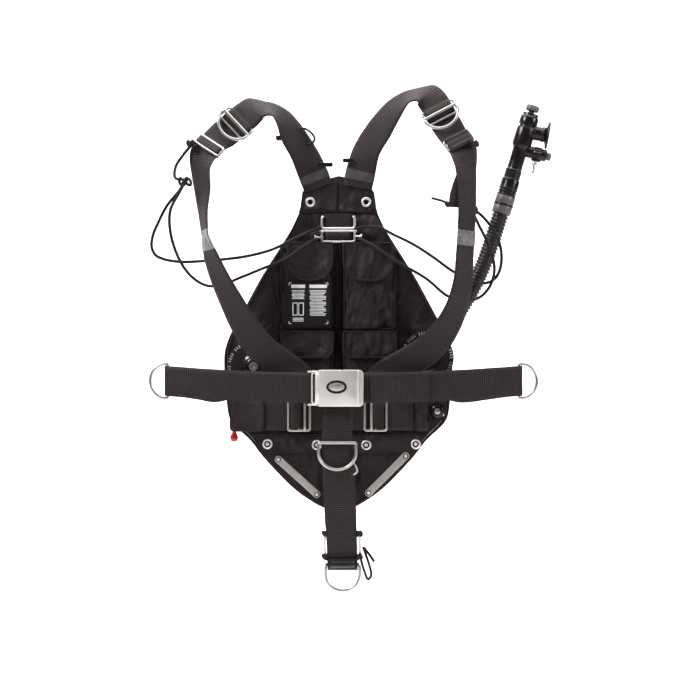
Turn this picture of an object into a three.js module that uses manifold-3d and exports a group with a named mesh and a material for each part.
// Harness and wing buoyancy compensator, hanging upright. Millimetres, +Z up, front towards -Y.
// The origin is on the front of the yoke's seam tape, midway between the two yoke grommets.
import * as THREE from 'three';
import { mergeVertices } from 'three/addons/utils/BufferGeometryUtils.js';
import Module from 'manifold-3d';

const wasm = await Module();
wasm.setup();

// ---------- driving dimensions ----------
const gap = 0.3; // left between pieces that touch
const webWidth = 49; // all the harness webbing
const webThick = 2.4;
const wire = 4; // wire of the sliders
const ringWire = 5; // wire of the D-rings
const cordRadius = 2.5; // bungee
const hoseRadius = 14;

const panelThick = 4; // yoke, back and butt panels, all in one plane
const tapeProud = 1; // seam tape in front of the panels
const tapeWidth = 10;
const wingThick = 32;
const wingBevel = 9;
const wingWall = 2;
const bladderInset = 14;

const grommetSpacing = 93;
const grommetRadius = 8.6;
const grommetBore = 4.2;
const grommetProud = 1.4;

const pocketDepth = 24;
const pocketCorner = 5;
const pocketWall = 2;
const pocketMouth = 22; // height of a pocket's mouth, under its flap
const strapClear = 8.7; // a shoulder strap's middle in front of the pockets
const flapThick = 2.4;
const flapLap = 3; // of a flap past each side of its mouth
const flapDrop = 63; // upper pockets
const lowerFlapDrop = 44;

const beltZ = -296; // middle of the belt at its ends
const beltSag = 11; // at the buckle
const beltFrontY = -92;
const beltEnds = [-277, 295]; // where the side D-rings' bars stand
const ringSlack = 2; // inside a ring, over the webbing's width
const tailSlack = 1.5;
const ringWidth = (slack) => webWidth + slack + 2 * ringWire;
const beltRing = { width: ringWidth(ringSlack), depth: ringWidth(ringSlack) / 2 + ringWire - 1.5 };
const buckle = { width: 78, height: 59, plate: 3, pin: 2, clearance: 0.35 };

const chestWebTop = -19;
const chestWebDrop = 49;

const sliderSize = { width: 60, height: 27 };
const shoulderRing = { width: ringWidth(ringSlack + 3), depth: 33 };
const crotchRing = { width: ringWidth(ringSlack + 4), depth: 48 };
const tailRing = { width: ringWidth(tailSlack), depth: 46 };

const valve = { x: -140, z: -273, flange: 34, cap: 15, port: 19 };
const elbow = { x: 147, z: -258, flange: 33, port: 17 };
const sideValve = { x: 164, z: -347, radius: 11, button: 5, travel: 3 };
const pull = { x: -174, z: -367, cord: 1.3, knob: 7, knobLength: 18, drop: 14 };

// ---------- materials ----------
const finish = (color, roughness, metalness = 0) =>
  new THREE.MeshStandardMaterial({ color, roughness, metalness });
const cordura = finish(0x1c181a, 0.9);
const webbing = finish(0x2a2526, 0.85);
const steel = finish(0xd8d4d2, 0.22, 1);
const brushed = finish(0xb2a8a5, 0.4, 1);
const rubber = finish(0x232124, 0.6);
const plastic = finish(0x1a1a1c, 0.42);
const greyPlastic = finish(0x55555a, 0.5);
const red = finish(0xb8201c, 0.4);

// ---------- helpers ----------
const group = new THREE.Group();
const v = (x, y, z) => new THREE.Vector3(x, y, z);

function add(name, geometry, material) {
  const mesh = new THREE.Mesh(geometry, material);
  mesh.name = name;
  group.add(mesh);
  return mesh;
}

// Sets a mesh at a place with its local x and y axes along the given directions.
function place(mesh, origin, xAxis, yAxis) {
  const x = xAxis.clone().normalize();
  const z = x.clone().cross(yAxis).normalize();
  const y = z.clone().cross(x);
  mesh.quaternion.setFromRotationMatrix(new THREE.Matrix4().makeBasis(x, y, z));
  mesh.position.copy(origin);
  return mesh;
}

function toSolid(geometry) {
  const g = geometry.clone();
  g.deleteAttribute('normal');
  g.deleteAttribute('uv');
  const merged = mergeVertices(g, 1e-4);
  return new wasm.Manifold(new wasm.Mesh({
    numProp: 3,
    vertProperties: new Float32Array(merged.attributes.position.array),
    triVerts: new Uint32Array(merged.index.array),
  }));
}

function toGeometry(solid) {
  const m = solid.getMesh();
  const g = new THREE.BufferGeometry();
  g.setAttribute('position', new THREE.BufferAttribute(new Float32Array(m.vertProperties), 3));
  g.setIndex(new THREE.BufferAttribute(new Uint32Array(m.triVerts), 1));
  g.computeVertexNormals();
  return g;
}

const join = (...geometries) => toGeometry(geometries.map(toSolid).reduce((a, b) => a.add(b)));
const cut = (body, ...tools) => toGeometry(tools.map(toSolid).reduce((a, b) => a.subtract(b),
  toSolid(body)));

// A flat outline in X and Z, from its front face at y = front to its back at y = back.
function plate(shape, front, back, bevel = 0, curveSegments = 6) {
  const g = new THREE.ExtrudeGeometry(shape, {
    depth: back - front - 2 * bevel,
    bevelEnabled: bevel > 0,
    bevelThickness: bevel,
    bevelSize: bevel,
    bevelOffset: -bevel,
    bevelSegments: 1,
    curveSegments,
  });
  g.rotateX(Math.PI / 2);
  g.translate(0, back - bevel, 0);
  return g;
}

function outline(points) {
  return new THREE.Shape(points.map(([x, z]) => new THREE.Vector2(x, z)));
}

// Mirrors the right half of an outline, given from top to bottom, about x = 0.
function mirrored(half) {
  const left = half.filter(([x]) => x > 0).map(([x, z]) => [-x, z]).reverse();
  return outline([...half, ...left]);
}

function roundedRectangle(x0, z0, x1, z1, r) {
  const s = new THREE.Shape();
  s.moveTo(x0 + r, z0);
  s.lineTo(x1 - r, z0);
  s.absarc(x1 - r, z0 + r, r, -Math.PI / 2, 0);
  s.lineTo(x1, z1 - r);
  s.absarc(x1 - r, z1 - r, r, 0, Math.PI / 2);
  s.lineTo(x0 + r, z1);
  s.absarc(x0 + r, z1 - r, r, Math.PI / 2, Math.PI);
  s.lineTo(x0, z0 + r);
  s.absarc(x0 + r, z0 + r, r, Math.PI, 1.5 * Math.PI);
  return s;
}

// A flat ring of wire, centred on its own plane, with the shape's holes in it.
function wireFrame(shape, thickness, curveSegments = 5) {
  const bevel = thickness * 0.28;
  const g = new THREE.ExtrudeGeometry(shape, {
    depth: thickness - 2 * bevel,
    bevelEnabled: true,
    bevelThickness: bevel,
    bevelSize: bevel,
    bevelOffset: -bevel,
    bevelSegments: 1,
    curveSegments,
  });
  g.translate(0, 0, bevel - thickness / 2);
  return g;
}

// A D-ring with the middle of its straight bar at the origin, the bow towards -Y.
function dRing({ width, depth }, thickness) {
  const half = width / 2;
  const straight = depth - half > 0 ? depth - half : depth * 0.25;
  const bow = depth - straight;
  const contour = (inset) => {
    const s = new THREE.Shape();
    const top = thickness / 2 - inset;
    s.moveTo(-half + inset, top);
    s.lineTo(-half + inset, -straight);
    s.absellipse(0, -straight, half - inset, bow - thickness / 2 - inset, Math.PI, 2 * Math.PI, false);
    s.lineTo(half - inset, top);
    s.closePath();
    return s;
  };
  const s = contour(0);
  s.holes.push(contour(thickness));
  return wireFrame(s, thickness, 7);
}

// A slider with a bar across its middle, its long side along x.
function slider({ width, height }, thickness) {
  const s = roundedRectangle(-width / 2, -height / 2, width / 2, height / 2, thickness);
  for (const side of [-1, 1]) {
    const low = side > 0 ? thickness / 2 : -height / 2 + thickness;
    const high = side > 0 ? height / 2 - thickness : -thickness / 2;
    s.holes.push(new THREE.Path([[-1, low], [1, low], [1, high], [-1, high]]
      .map(([k, y]) => new THREE.Vector2(k * (width / 2 - thickness), y))));
  }
  return wireFrame(s, thickness, 1);
}

// A round bar or turned piece about its own axis, from a profile of [radius, height] pairs.
function turned(profile, segments = 20) {
  return new THREE.LatheGeometry(profile.map(([r, h]) => new THREE.Vector2(r, h)), segments);
}

// A rod along any direction.
function rod(from, to, radius, segments = 12) {
  const along = to.clone().sub(from);
  const g = new THREE.CylinderGeometry(radius, radius, along.length(), segments);
  g.applyQuaternion(new THREE.Quaternion().setFromUnitVectors(v(0, 1, 0), along.clone().normalize()));
  const middle = from.clone().add(to).multiplyScalar(0.5);
  return g.translate(middle.x, middle.y, middle.z);
}

// Turns a lathe's axis from +Y to -Y, so that its profile climbs towards the front.
const facingFront = (g) => g.rotateX(Math.PI);

// A round cord or hose along a smooth curve.
function tube(points, radius, steps, sides = 8) {
  const circle = new THREE.Shape();
  circle.absarc(0, 0, radius, 0, 2 * Math.PI);
  const path = new THREE.CatmullRomCurve3(points.map((p) => v(...p)), false, 'centripetal');
  const g = new THREE.ExtrudeGeometry(circle,
    { steps, extrudePath: path, curveSegments: sides / 2, bevelEnabled: false });
  return g;
}

// Webbing along a smooth curve. Each station is [x, y, z, ux, uy, uz]: a point of the
// centreline and the direction across the webbing there.
function webPath(stations) {
  const line = new THREE.CatmullRomCurve3(stations.map((s) => v(s[0], s[1], s[2])), false, 'centripetal');
  const last = stations.length - 1;
  return (t) => {
    const k = Math.min(Math.floor(t * last), last - 1);
    const f = t * last - k;
    const [a, b] = [stations[k], stations[k + 1]];
    const across = v(a[3], a[4], a[5]).normalize().lerp(v(b[3], b[4], b[5]).normalize(), f);
    const along = line.getTangent(t);
    const normal = along.clone().cross(across).normalize();
    return { point: line.getPoint(t), along, across: normal.clone().cross(along), normal };
  };
}

function web(frameAt, steps, width = webWidth, thickness = webThick) {
  const g = new THREE.BoxGeometry(width, thickness, 1, 1, 1, steps);
  const p = g.attributes.position;
  for (let i = 0; i < p.count; i++) {
    const f = frameAt(Math.min(Math.max(p.getZ(i) + 0.5, 0), 1));
    const q = f.point.clone()
      .addScaledVector(f.across, p.getX(i))
      .addScaledVector(f.normal, p.getY(i));
    p.setXYZ(i, q.x, q.y, q.z);
  }
  g.computeVertexNormals();
  return g;
}

// ---------- wing ----------
const wingHalf = [
  [0, 43], [46, 34], [60, 17], [64, -20], [84, -55], [110, -96], [130, -128], [166, -196],
  [181, -222], [190, -250], [190, -280], [184, -355], [175, -370], [146, -396], [126, -424],
  [75, -478], [30, -508], [0, -512],
];
const wingFront = panelThick + gap;
const wingBack = wingFront + wingThick;

// A smaller copy of the wing's outline, drawn in evenly towards its middle.
function insetHalf(inset, low = -Infinity, high = Infinity) {
  const centre = -240;
  const scaleX = (x) => Math.max(x - inset, 0);
  const scaleZ = (z) => z - Math.sign(z - centre) * inset * (Math.abs(z - centre) > 180 ? 1 : 0.2);
  return wingHalf.map(([x, z]) => [scaleX(x), Math.min(Math.max(scaleZ(z), low), high)]);
}

function wing() {
  const outer = plate(mirrored(wingHalf), wingFront, wingBack, wingBevel);
  const hollow = plate(mirrored(insetHalf(wingWall + 1)), wingFront + wingWall, wingBack - wingWall,
    wingBevel);
  const port = (p) => rod(v(p.x, wingFront - 5, p.z), v(p.x, wingFront + 8, p.z), p.port + gap, 20);
  const pullHole = rod(v(pull.x, wingFront + wingThick / 2, pull.z - 12),
    v(pull.x, wingFront + wingThick / 2, pull.z + 10), pull.cord + 0.8, 10);
  const buttonHole = port({ ...sideValve, port: sideValve.radius - 3 });
  add('wing_outer_shell', cut(outer, hollow, port(valve), port(elbow), pullHole, buttonHole), cordura);
  const bladder = plate(mirrored(insetHalf(bladderInset)), wingFront + 10, wingBack - wingWall - gap, 4);
  add('inner_bladder', bladder, rubber);
}

// ---------- panels ----------
const yokeLow = -16;
const buttTop = -382;
const ringHole = (p, r) => rod(v(p.x, -5, p.z), v(p.x, panelThick + 5, p.z), r, 24);

function panels() {
  const seam = gap / 2;
  const yokeHalf = [[0, 42], [46, 33], [59, 16], [62.5, -10], [66, yokeLow + seam], [0, yokeLow + seam]];
  const tape = new THREE.BoxGeometry(tapeWidth, tapeProud + 1, 48);
  tape.translate(0, (tapeProud + 1) / 2, 9.5);
  const bores = [-1, 1].map((s) => ringHole({ x: s * grommetSpacing / 2, z: 0 }, grommetRadius - 2));
  const yoke = plate(mirrored(yokeHalf), tapeProud, panelThick);
  add('yoke_panel', cut(join(yoke, tape), ...bores), cordura);

  const back = [
    [0, yokeLow - seam], [64, yokeLow - seam], [80, -53], [126, -128], [161, -196], [176, -222],
    [184, -250], [184, -280], [178, -355], [150, buttTop + seam], [0, buttTop + seam],
  ];
  add('back_panel', cut(plate(mirrored(back), tapeProud, panelThick), ringHole(valve, valve.flange + 1),
    ringHole(elbow, elbow.flange + 1), ringHole(sideValve, sideValve.radius + 1)), cordura);

  const butt = [[0, buttTop - seam], [150, buttTop - seam], [139, -395], [119, -424], [70, -475],
    [28, -503], [0, -507]];
  const holes = buttGrommets.map((p) => ringHole(p, grommetRadius - 2));
  add('butt_panel', cut(plate(mirrored(butt), tapeProud, panelThick), ...holes), cordura);
}

// ---------- grommets, screws and rails ----------
const buttGrommets = [-1.5, -0.5, 0.5, 1.5].map((k) => ({ x: 5.5 + k * 82, z: -404 + Math.abs(k) * 1.5 }));

function grommet(name, x, z, screw) {
  const front = tapeProud - gap;
  const profile = screw
    ? [[0, -2], [grommetRadius - 2 - gap, -2], [grommetRadius - 2 - gap, gap], [grommetRadius, gap],
      [grommetRadius - 1, grommetProud], [5, grommetProud], [4, grommetProud + 1.4],
      [0, grommetProud + 1.8]]
    : [[grommetBore, -2], [grommetRadius - 2 - gap, -2], [grommetRadius - 2 - gap, gap],
      [grommetRadius, gap], [grommetRadius - 1, grommetProud], [grommetBore, grommetProud],
      [grommetBore, -2]];
  const mesh = add(name, facingFront(turned(profile, 14)), steel);
  mesh.position.set(x, front + gap, z);
}

function rail(name, from, to) {
  const half = 6;
  const length = Math.hypot(to[0] - from[0], to[1] - from[1]);
  const s = roundedRectangle(-half, -length / 2, half, length / 2, half - 0.5);
  const bar = plate(s, -2, 0, 0.4);
  const heads = [-1, 1].map((e) => {
    const head = facingFront(turned([[0, 1], [8, 1], [8, 2.8], [5, 3], [4.4, 4.6], [0, 5]], 12));
    return head.translate(0, 0, e * (length / 2 - half));
  });
  const mesh = add(name, join(bar, ...heads), brushed);
  mesh.position.set((from[0] + to[0]) / 2, tapeProud - gap, (from[1] + to[1]) / 2);
  mesh.rotation.y = Math.atan2(from[0] - to[0], from[1] - to[1]);
}

// ---------- pockets ----------
const upperTop = -71;
const upperLow = -214;
const lowerTop = upperLow - 2 * gap - flapThick;
const lowerLow = -284;
const pocketFront = tapeProud - gap - pocketDepth;
const pockets = [
  { side: 'left', x0: -96, x1: -7, flap: [-83, -9] },
  { side: 'right', x0: 7, x1: 97, flap: [8, 91] },
];

// A pocket's mouth is in its front, under its flap.
function pocket(name, [x0, x1], low, high, [f0, f1]) {
  const wall = pocketWall;
  const body = plate(roundedRectangle(x0, low, x1, high, pocketCorner), pocketFront, tapeProud - gap, 4, 2);
  const [front, back] = [pocketFront + wall, tapeProud - gap - wall];
  const width = x1 - x0 - 2 * pocketCorner;
  const inside = new THREE.BoxGeometry(width, back - front, high - low - 2 * wall);
  inside.translate((x0 + x1) / 2, (front + back) / 2, (low + high) / 2);
  const [m0, m1] = [Math.max(f0 + flapLap, x0 + pocketCorner), Math.min(f1 - flapLap, x1 - pocketCorner)];
  const mouth = new THREE.BoxGeometry(m1 - m0, 4 * wall, pocketMouth);
  mouth.translate((m0 + m1) / 2, pocketFront, high - pocketCorner - pocketMouth / 2);
  add(name, cut(body, inside, mouth), cordura);
}

// A flap hangs in front of its pocket's mouth, hinged along its top edge.
function flap(name, x0, x1, top, drop, corner) {
  const s = new THREE.Shape();
  const low = top - drop;
  s.moveTo(x0, top);
  s.lineTo(x0, low + corner);
  s.absarc(x0 + corner, low + corner, corner, Math.PI, 1.5 * Math.PI, false);
  s.lineTo(x1 - corner, low);
  s.absarc(x1 - corner, low + corner, corner, 1.5 * Math.PI, 2 * Math.PI, false);
  s.lineTo(x1, top);
  s.closePath();
  const front = pocketFront - gap - flapThick;
  add(name, plate(s, front, front + flapThick, 0, 4), cordura);
}

function allPockets() {
  for (const { side, x0, x1, flap: [f0, f1] } of pockets) {
    pocket(`upper_pocket_${side}`, [x0, x1], upperLow, upperTop, [f0, f1]);
    pocket(`lower_pocket_${side}`, [x0, x1], lowerLow, lowerTop, [x0 + 1, x1 - 1]);
    flap(`upper_flap_${side}`, f0, f1, upperTop + gap + flapThick, flapDrop, 22);
    flap(`lower_flap_${side}`, x0 + 1, x1 - 1, lowerTop + gap + flapThick, lowerFlapDrop, 14);
  }
}

// ---------- waist ----------
const waistZ = -354;
const waistPads = [{ name: 'left', x0: -180, x1: -122 }, { name: 'right', x0: 126, x1: 151 }];
const waistSliders = [{ name: 'left', x: -65 }, { name: 'right', x: 62 }];
const waistWebY = -5;

function waist() {
  for (const { name, x0, x1 } of waistPads) {
    const s = roundedRectangle(x0, waistZ - 27, x1, waistZ + 26, 6);
    add(`waist_pad_${name}`, plate(s, tapeProud - gap - 13, tapeProud - gap, 4, 2), cordura);
  }
  const strip = new THREE.BoxGeometry(waistPads[1].x0 - waistPads[0].x1 - 2 * gap, webThick, webWidth);
  const mesh = add('rear_waist_web', strip, webbing);
  mesh.position.set((waistPads[1].x0 + waistPads[0].x1) / 2, waistWebY + webThick / 2 + tapeProud, waistZ);
  const front = waistWebY + tapeProud - gap;
  for (const { name, x } of waistSliders) {
    place(add(`waist_slider_${name}`, slider({ width: 54, height: 40 }, wire), brushed),
      v(x, front - wire / 2, waistZ), v(0, 0, 1), v(1, 0, 0));
  }
}

// ---------- shoulder straps ----------
// Stations from the yoke over the shoulder to the back panel, for the strap on the -X side.
const overPocket = pocketFront - strapClear; // where a strap's end leaves the pockets
const leftStrap = [
  [-33, -0.8, 24, 1, 0, 0.4], [-40, -1.2, 42, 0.95, 0.03, 0.42], [-56, -8, 78, 0.8, 0.4, 0.45],
  [-74, -18, 108, 0.72, 0.5, 0.45], [-91, -30, 134, 0.4, 0.75, 0.5], [-112, -44, 149, -0.07, 0.86, 0.5],
  [-134, -55, 149, -0.66, 0.4, 0.63], [-148, -60, 137.5, -0.79, 0.08, 0.6],
  [-166, -65.5, 121.5, -0.79, 0.08, 0.6], [-184, -71, 105.5, -0.79, 0.08, 0.6],
  [-198, -76, 94, -0.7, 0.38, 0.6], [-207, -80, 83.5, -0.7, 0.38, 0.6], [-216, -84, 73, -0.7, 0.38, 0.6],
  [-221, -91, 45, -0.62, 0.75, 0.15],
  [-218, -96, 12, -0.56, 0.82, 0], [-217, -98, -24, -0.35, 0.93, 0], [-213, -99, -62, -0.25, 0.96, 0],
  [-204, -97, -95, -0.5, 0.85, -0.1], [-190, -93, -130, -0.6, 0.75, -0.2],
  [-173, -88, -165, -0.7, 0.62, -0.3],
  [-152, -81, -205, -0.75, 0.45, -0.42], [-127, -74, -240, -0.72, 0.2, -0.6],
  [-98, overPocket - 34, -264, -0.7, 0, -0.72],
  [-72, overPocket - 19, -283, -0.75, 0, -0.66], [-58, overPocket, -296, -0.77, 0, -0.64],
  [-50, overPocket + 18, -303, -0.77, 0, -0.64], [-47, -1.2, -305, -0.77, 0, -0.64],
];
const rightStrap = [
  [32, -0.8, 24, -1, 0, 0.2], [36, -1.2, 44, -0.95, 0.03, 0.25], [47, -8, 84, -0.8, 0.4, 0.45],
  [68, -18, 118, -0.76, 0.5, 0.45], [92, -30, 150, -0.5, 0.72, 0.48], [118, -43, 170, 0, 0.86, 0.5],
  [143, -53, 172, 0.8, 0.35, 0.48], [155, -58, 159, 0.87, 0.08, 0.5],
  [166, -64, 139, 0.87, 0.08, 0.5], [177, -70, 119, 0.87, 0.08, 0.5],
  [187, -75.5, 102, 0.82, 0.3, 0.44], [194, -79, 91.5, 0.82, 0.35, 0.42],
  [201, -82.5, 81, 0.82, 0.35, 0.42],
  [206, -90, 48, 0.68, 0.72, 0.1],
  [208, -96, 14, 0.62, 0.78, 0], [208, -98, -24, 0.6, 0.8, 0], [206, -98, -63, 0.58, 0.8, 0],
  [204, -97, -98, 0.6, 0.8, 0], [202, -95, -132, 0.65, 0.75, -0.1], [193, -91, -172, 0.68, 0.68, -0.22],
  [176, -85, -209, 0.65, 0.5, -0.4], [149, -77, -242, 0.62, 0.2, -0.65], [114, -67, -265, 0.7, 0, -0.72],
  [82, overPocket - 20, -283, 0.75, 0, -0.66], [66, overPocket - 1, -296, 0.77, 0, -0.64],
  [57, -14, -303, 0.77, 0, -0.64], [54, -1.2, -305, 0.77, 0, -0.64],
];
const strapSteps = 72;
const shoulders = [
  { side: 'left', stations: leftStrap, upper: 8, lower: 11 },
  { side: 'right', stations: rightStrap, upper: 8, lower: 11 },
];

// The place on a strap's outer face where hardware lies, a height above the webbing.
function onStrap(frameAt, t, height) {
  const f = frameAt(t);
  const out = f.normal.clone();
  if (out.y > 0) out.negate();
  return { at: f.point.clone().addScaledVector(out, webThick / 2 + height), across: f.across, out,
    down: f.along };
}

function shoulderStraps() {
  for (const { side, stations, upper, lower } of shoulders) {
    const frameAt = webPath(stations);
    const last = stations.length - 1;
    add(`shoulder_strap_${side}`, web(frameAt, strapSteps), webbing);
    const top = onStrap(frameAt, upper / last, gap * 2 + wire / 2);
    const up = top.down.clone().negate();
    place(add(`shoulder_slider_${side}`, slider(sliderSize, wire), steel), top.at, top.across, up);
    const ring = onStrap(frameAt, upper / last, gap * 3 + wire + ringWire / 2);
    place(add(`shoulder_ring_${side}`, dRing(shoulderRing, ringWire), steel), ring.at, ring.across, up);
    const low = onStrap(frameAt, lower / last, gap * 4 + wire / 2);
    place(add(`chest_strap_slider_${side}`, slider({ width: 54, height: 20 }, wire), steel),
      low.at, low.across, low.down.clone().negate());
  }
}

// ---------- chest hardware and bungees ----------
const chestWebFront = tapeProud - gap - webThick;
const studs = [v(-31, chestWebFront - gap - wire / 2, -59), v(31, chestWebFront - gap - wire / 2, -57)];

function chest() {
  const strip = new THREE.BoxGeometry(webWidth - 2, webThick, chestWebDrop - 4);
  const mesh = add('chest_web', strip, webbing);
  mesh.position.set(0, chestWebFront + webThick / 2, chestWebTop - (chestWebDrop - 4) / 2);
  const [front, back] = [chestWebFront - gap - wire, chestWebFront - gap];

  const loop = new THREE.Shape();
  const [half, top, low] = [29, -25, -46];
  loop.moveTo(-half, top);
  loop.lineTo(-half, low + 5);
  loop.absarc(-half + 5, low + 5, 5, Math.PI, 1.5 * Math.PI, false);
  loop.lineTo(half - 5, low);
  loop.absarc(half - 5, low + 5, 5, 1.5 * Math.PI, 2 * Math.PI, false);
  loop.lineTo(half, top);
  loop.lineTo(half - wire, top);
  loop.lineTo(half - wire, low + wire);
  loop.lineTo(-half + wire, low + wire);
  loop.lineTo(-half + wire, top);
  loop.closePath();
  add('chest_loop', plate(loop, front, back, 1, 3), steel);

  const frame = roundedRectangle(-29, -68, 29, -46 - gap, 1.5);
  frame.holes.push(roundedRectangle(-23, -64.5, 23, -50, 1));
  const arms = studs.map((p) => {
    const s = Math.sign(p.x);
    const profile = [[0, -4], [2, -4], [2, 4], [4.2, 7], [4.2, 8], [0, 8]];
    const arm = turned(profile, 12).rotateZ(-s * Math.PI / 2);
    return arm.translate(p.x, p.y, p.z);
  });
  add('chest_slider', join(plate(frame, front, back, 1, 2), ...arms), steel);
}

const bungees = {
  left: {
    upper: [[-31.8, -4.5, -43], [-38, -13, -46], [-48, -24, -51], [-70, -38, -62], [-107, -50, -81],
      [-147, -62, -92.5],
      [-185, -66, -98], [-222, -64, -101], [-256, -64, -102], [-283, -72, -98], [-296, -80, -91],
      [-301, -86, -78], [-298, -90, -59], [-291, -92, -43], [-276, -94, -14], [-256, -98, 10],
      [-246, -101, 24]],
    lower: [[-35, -12, -63], [-41, -25, -65], [-52, -35, -72], [-85.5, -44, -96], [-127, -53, -114],
      [-163, -57, -129],
      [-188, -59, -139], [-212, -61, -141], [-236, -68, -128], [-256, -76, -101], [-270, -87, -58],
      [-270, -95, -21], [-254, -106, 8], [-246, -103, 24]],
    keeper: [[-246, -101, 28], [-262, -94, 32], [-262, -88, 50], [-250, -84, 70], [-239, -82, 84]],
    knot: [-246, -102, 25],
  },
  right: {
    upper: [[31.8, -4.5, -43], [37, -13, -43], [46, -24, -42], [66, -36, -44], [90, -42, -56],
      [125, -50, -74],
      [155, -57, -94], [185, -60, -116], [212, -60, -131], [235, -60, -137], [252, -63, -132],
      [261, -70, -120], [265, -78, -96], [260, -84, -69], [246, -85, -44], [229, -74, -24],
      [218, -66, -17]],
    lower: [[34, -12, -61], [40, -25, -64], [52, -35, -71], [92, -44, -98], [144, -52, -129],
      [178, -57, -157],
      [205, -59, -166], [230, -62, -160], [246, -71, -143], [253, -80, -119], [250, -88, -96],
      [240, -88, -69], [228, -74, -42], [218, -68, -20]],
    knot: [217, -67, -17],
  },
};

function bungeeCords() {
  for (const [side, route] of Object.entries(bungees)) {
    const knot = new THREE.IcosahedronGeometry(9, 1).translate(...route.knot);
    const parts = [tube(route.upper, cordRadius, 26), tube(route.lower, cordRadius, 24), knot];
    if (route.keeper) parts.push(tube(route.keeper, cordRadius, 8));
    add(`chest_bungee_${side}`, join(...parts), rubber);
  }
}

// ---------- belt ----------
const buckleX = 2;
const buckleMidZ = beltZ - beltSag;

function beltStations(end, inner, y) {
  const s = Math.sign(end);
  const sag = (x) => beltZ - beltSag * (1 - (x / end) ** 2);
  const turn = ringWire / 2 + gap * 4 + webThick / 2;
  const barY = -58;
  const point = (x, yy, drop = 0) => [x, yy, sag(x) - drop, 0, 0, 1];
  const fold = [-60, -20, 20, 60, 90].map((a) => {
    const r = THREE.MathUtils.degToRad(a);
    return point(end + s * turn * Math.cos(r), barY + turn * Math.sin(r));
  });
  return [
    point(inner, y), point(s * 120, y + 5), point(s * 200, y + 14), point(end - s * 12, barY - turn - 3),
    point(end, barY - turn), ...fold,
    point(end - s * 12, barY + turn + 2), point(end - s * 50, barY + 20, 3), point(s * 204, -26, 6),
      point(s * 186, -9, 2), point(s * 176, -1.8),
  ];
}

function belt() {
  add('belt_web_left', web(webPath(beltStations(beltEnds[0], -28, beltFrontY)), 40), webbing);
  add('belt_web_right', web(webPath(beltStations(beltEnds[1], 22, beltFrontY)), 40), webbing);
  for (const [side, end] of [['left', beltEnds[0]], ['right', beltEnds[1]]]) {
    place(add(`belt_ring_${side}`, dRing(beltRing, ringWire), steel),
      v(end, -58, beltZ), v(0, 0, 1), v(-Math.sign(end), 0, 0));
  }
}

const hingeX = buckleX - buckle.width / 2 + 4;
const pinY = beltFrontY - 7.1;

function beltBuckle() {
  const [w, h] = [buckle.width, buckle.height];
  const knuckle = 4;
  const mid = 40;
  const right = buckleX + w / 2;
  const bore = (z0, z1) => rod(v(hingeX, pinY, z0), v(hingeX, pinY, z1), buckle.pin + buckle.clearance, 16);
  const barrel = (z0, z1) => rod(v(hingeX, pinY, z0), v(hingeX, pinY, z1), knuckle, 16);

  // The frame: a plate that both belt ends pass behind, with two ears for the pin.
  const body = roundedRectangle(hingeX - 10, buckleMidZ - h / 2 + 3, right - 6, buckleMidZ + h / 2 - 3, 3);
  body.holes.push(roundedRectangle(hingeX + 8, buckleMidZ - h / 2 + 10, right - 16,
    buckleMidZ + h / 2 - 10, 2));
  const frontY = pinY + knuckle - 1;
  const ears = [-1, 1].map((s) => {
    const z = buckleMidZ + s * (mid / 2 + gap);
    return barrel(Math.min(z, z + s * 5), Math.max(z, z + s * 5));
  });
  const clear = rod(v(hingeX, pinY, buckleMidZ - mid / 2 - gap),
    v(hingeX, pinY, buckleMidZ + mid / 2 + gap),
    knuckle + 2 * gap, 16);
  const frame = cut(join(plate(body, frontY, frontY + 2.6, 0, 3), ...ears), bore(-400, -200), clear);
  add('buckle_frame', frame, steel);

  // The cam lever that folds over it.
  const lever = roundedRectangle(hingeX, buckleMidZ - h / 2, right, buckleMidZ + h / 2, 7);
  const notch = (s) => {
    const g = new THREE.BoxGeometry(14, 20, 12);
    return g.translate(hingeX, pinY, buckleMidZ + s * (mid / 2 + 6));
  };
  const leverPlate = cut(plate(lever, pinY - knuckle, pinY - knuckle + buckle.plate, 0.8, 4), notch(-1),
    notch(1));
  add('buckle_lever', cut(join(leverPlate, barrel(buckleMidZ - mid / 2, buckleMidZ + mid / 2)),
    bore(-400, -200)), steel);
  const reach = h / 2 - 2;
  add('buckle_pin', rod(v(hingeX, pinY, buckleMidZ - reach), v(hingeX, pinY, buckleMidZ + reach),
    buckle.pin, 16), steel);
}

// ---------- crotch strap ----------
const crotchStations = [
  [2, -86, -285], [1, -87, -310], [0, -90, -345], [-1, -93, -375], [-2, -94, -395], [-1, -92, -425],
  [1, -86, -470], [3, -77, -515], [6, -67, -560], [7, -59, -590], [7.4, -57, -598.5], [7.5, -53.6, -603.6],
  [7.5, -49.4, -603.4], [7.4, -46.6, -598], [7, -43, -585], [6, -34, -545], [5, -20, -500], [4, -8, -462],
  [3, -1.5, -436], [3, -0.6, -418],
].map((p) => [...p, 1, 0, 0]);
const frontRing = v(-1, -94 - webThick / 2 - gap - ringWire / 2, -395);
const tailBar = v(7.5, -51.6, -597.5);

function crotch() {
  add('crotch_strap', web(webPath(crotchStations), 52), webbing);
  place(add('crotch_ring_front', dRing(crotchRing, ringWire), steel), frontRing, v(1, 0, 0), v(0, 0, 1));
  place(add('crotch_ring_tail', dRing(tailRing, ringWire), steel), tailBar, v(1, 0, 0), v(0, 0, 1));
}

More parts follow.
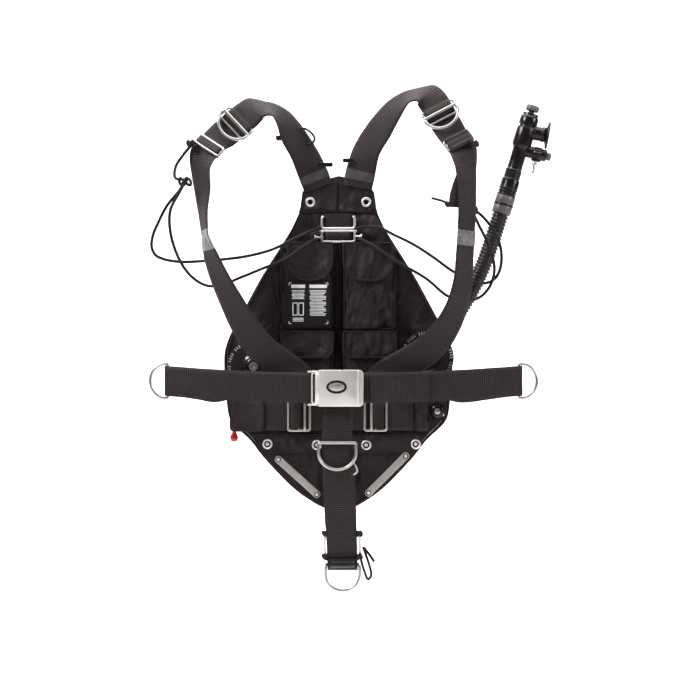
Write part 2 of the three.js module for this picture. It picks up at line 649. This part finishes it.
// ---------- valves ----------
function valves() {
  const cover = add('dump_valve', facingFront(turned([[0, -6], [valve.port, -6], [valve.port, 0.2],
    [valve.flange, 0.2], [valve.flange - 1, 3.5], [valve.cap + 6, 5], [valve.cap + 1, 8], [valve.cap, 15],
    [valve.cap - 4, 18], [0, 19]], 22)), plastic);
  cover.position.set(valve.x, wingFront - gap, valve.z);

  const r = sideValve.radius;
  const b = sideValve.button;
  const seat = add('side_valve_body', facingFront(turned([[0, -6], [r - 3 - gap, -6], [r - 3 - gap, 0.2],
    [r, 0.2],
    [r, 9], [b + 0.6, 12], [b + 0.6, 4], [0, 4]], 20)), plastic);
  seat.position.set(sideValve.x, wingFront - gap, sideValve.z);
  const button = add('side_valve_button', facingFront(turned([[0, 4 + sideValve.travel + gap],
    [b, 4 + sideValve.travel + gap], [b, 14.5], [b - 1.5, 16], [0, 16]], 16)), steel);
  button.position.copy(seat.position);

  const knobTop = -pull.drop;
  const knob = add('pull_knob', turned([[0, knobTop - pull.knobLength],
    [pull.knob - 2, knobTop - pull.knobLength + 1],
    [pull.knob, knobTop - pull.knobLength + 6], [pull.knob - 2.6, knobTop - 5], [2.4, knobTop],
    [pull.cord, knobTop],
    [pull.cord, 16], [0, 16]], 14), red);
  knob.rotation.x = Math.PI / 2;
  knob.position.set(pull.x, wingFront + wingThick / 2, pull.z);
}

// ---------- inflator ----------
const elbowEnd = [elbow.x + hoseRadius + 6, -hoseRadius - 17, elbow.z + hoseRadius + 8];
const hoseStart = v(0.52, -0.1, 0.85).normalize();
const fromElbow = (d) => v(...elbowEnd).addScaledVector(hoseStart, d).toArray();
const hoseRoute = [
  fromElbow(gap), fromElbow(20), [190, -34, -196], [206, -35, -170], [222, -36, -142], [236, -36, -112],
  [248, -36, -80], [258, -36, -50], [266.9, -36, -22], [270.5, -36, -10],
];

function alongAxis(geometry, base, direction) {
  const q = new THREE.Quaternion().setFromUnitVectors(v(0, 1, 0), direction.clone().normalize());
  return geometry.applyQuaternion(q).translate(base.x, base.y, base.z);
}

const inflatorAxis = v(0.29, 0, 0.957).normalize();
const inflatorBase = v(...hoseRoute.at(-1)).addScaledVector(inflatorAxis, gap);
const alongInflator = (d) => inflatorBase.clone().addScaledVector(inflatorAxis, d);
const throatAxis = v(0.985, 0, -0.17).normalize();
const armAxis = v(0.97, 0, -0.24).normalize();

const nippleAxis = v(-0.24, 0, -0.97).normalize();
const throatHeight = 128;
const throatLength = 30;
const armHeight = 97;
const buttonTravel = 3.5;

function inflator() {
  const base = facingFront(turned([[0, -5], [elbow.port, -5], [elbow.port, 0.2], [elbow.flange, 0.2],
    [elbow.flange - 1, 3.5], [21, 6], [18, 14], [15.5, 18], [0, 18]], 20));
  base.translate(elbow.x, wingFront - gap, elbow.z);
  const neck = tube([[elbow.x, -6, elbow.z], [elbow.x + 2, -6 - hoseRadius, elbow.z + 2], fromElbow(-10),
    elbowEnd], hoseRadius, 8, 12);
  add('inflator_elbow', join(base, neck), plastic);
  add('corrugated_hose', tube(hoseRoute, hoseRadius, 20, 12), rubber);

  const barrel = alongAxis(turned([[0, 0], [15.8, 0], [15.8, 46], [14, 48], [14, 62], [12.5, 64],
    [12.5, 100],
    [15, 102], [16, 106], [16, 132], [15, 136], [15.5, 139], [15.5, 152], [13, 154], [13, 159], [5, 159],
    [5, 154], [0, 154]], 16),
    inflatorBase, inflatorAxis);
  const throat = alongAxis(turned([[0, 0], [13, 0], [13, throatLength], [0, throatLength]], 14),
    alongInflator(throatHeight), throatAxis);
  const arm = alongAxis(turned([[0, 4], [10, 4], [10, 24], [12, 25], [12, 33], [10, 34], [10, 44],
    [7, 44], [7, 38],
    [0, 38]], 14), alongInflator(armHeight), armAxis);
  add('inflator_body', join(barrel, throat, arm), plastic);
  const oval = turned([[0, 0], [11, 0], [14, 3], [23, 5], [23, 8], [10, 8], [8, 4], [0, 4]], 20);
  oval.scale(0.62, 1, 1);
  add('mouthpiece', alongAxis(oval, alongInflator(throatHeight).addScaledVector(throatAxis,
    throatLength + gap), throatAxis), rubber);

  const button = alongAxis(turned([[0, -4], [4.6, -4], [4.6, gap], [9, gap], [11, 2], [11, 9], [9, 10],
    [0, 10]], 14),
    alongInflator(159 + buttonTravel), inflatorAxis);
  add('deflate_button', button, greyPlastic);
  const power = alongAxis(turned([[0, gap], [6.5, gap], [6.5, 9.5], [5, 10.5], [0, 10.5]], 16),
    alongInflator(armHeight).addScaledVector(armAxis, 38 + buttonTravel), armAxis);
  add('inflate_button', power, greyPlastic);
  const nipple = alongAxis(turned([[0, 0], [5.5, 0], [5.5, 7], [2.6, 8], [2.6, 16], [3.6, 17], [3.6, 20],
    [0, 20]], 14),
    alongInflator(armHeight).addScaledVector(armAxis, 29).addScaledVector(nippleAxis, 12 + gap),
      nippleAxis);
  add('quick_connect_nipple', nipple, steel);
}

// ---------- assembly ----------
wing();
panels();
for (const s of [-1, 1]) grommet(`yoke_grommet_${s < 0 ? 'left' : 'right'}`, s * grommetSpacing / 2, 0,
  false);
buttGrommets.forEach((p, i) => grommet(`butt_grommet_${i + 1}`, p.x, p.z, true));
rail('rail_left', [-104, -423], [-31, -489]);
rail('rail_right', [116, -417], [46, -487]);
allPockets();
waist();
shoulderStraps();
chest();
bungeeCords();
belt();
beltBuckle();
crotch();
valves();
inflator();

export default group;
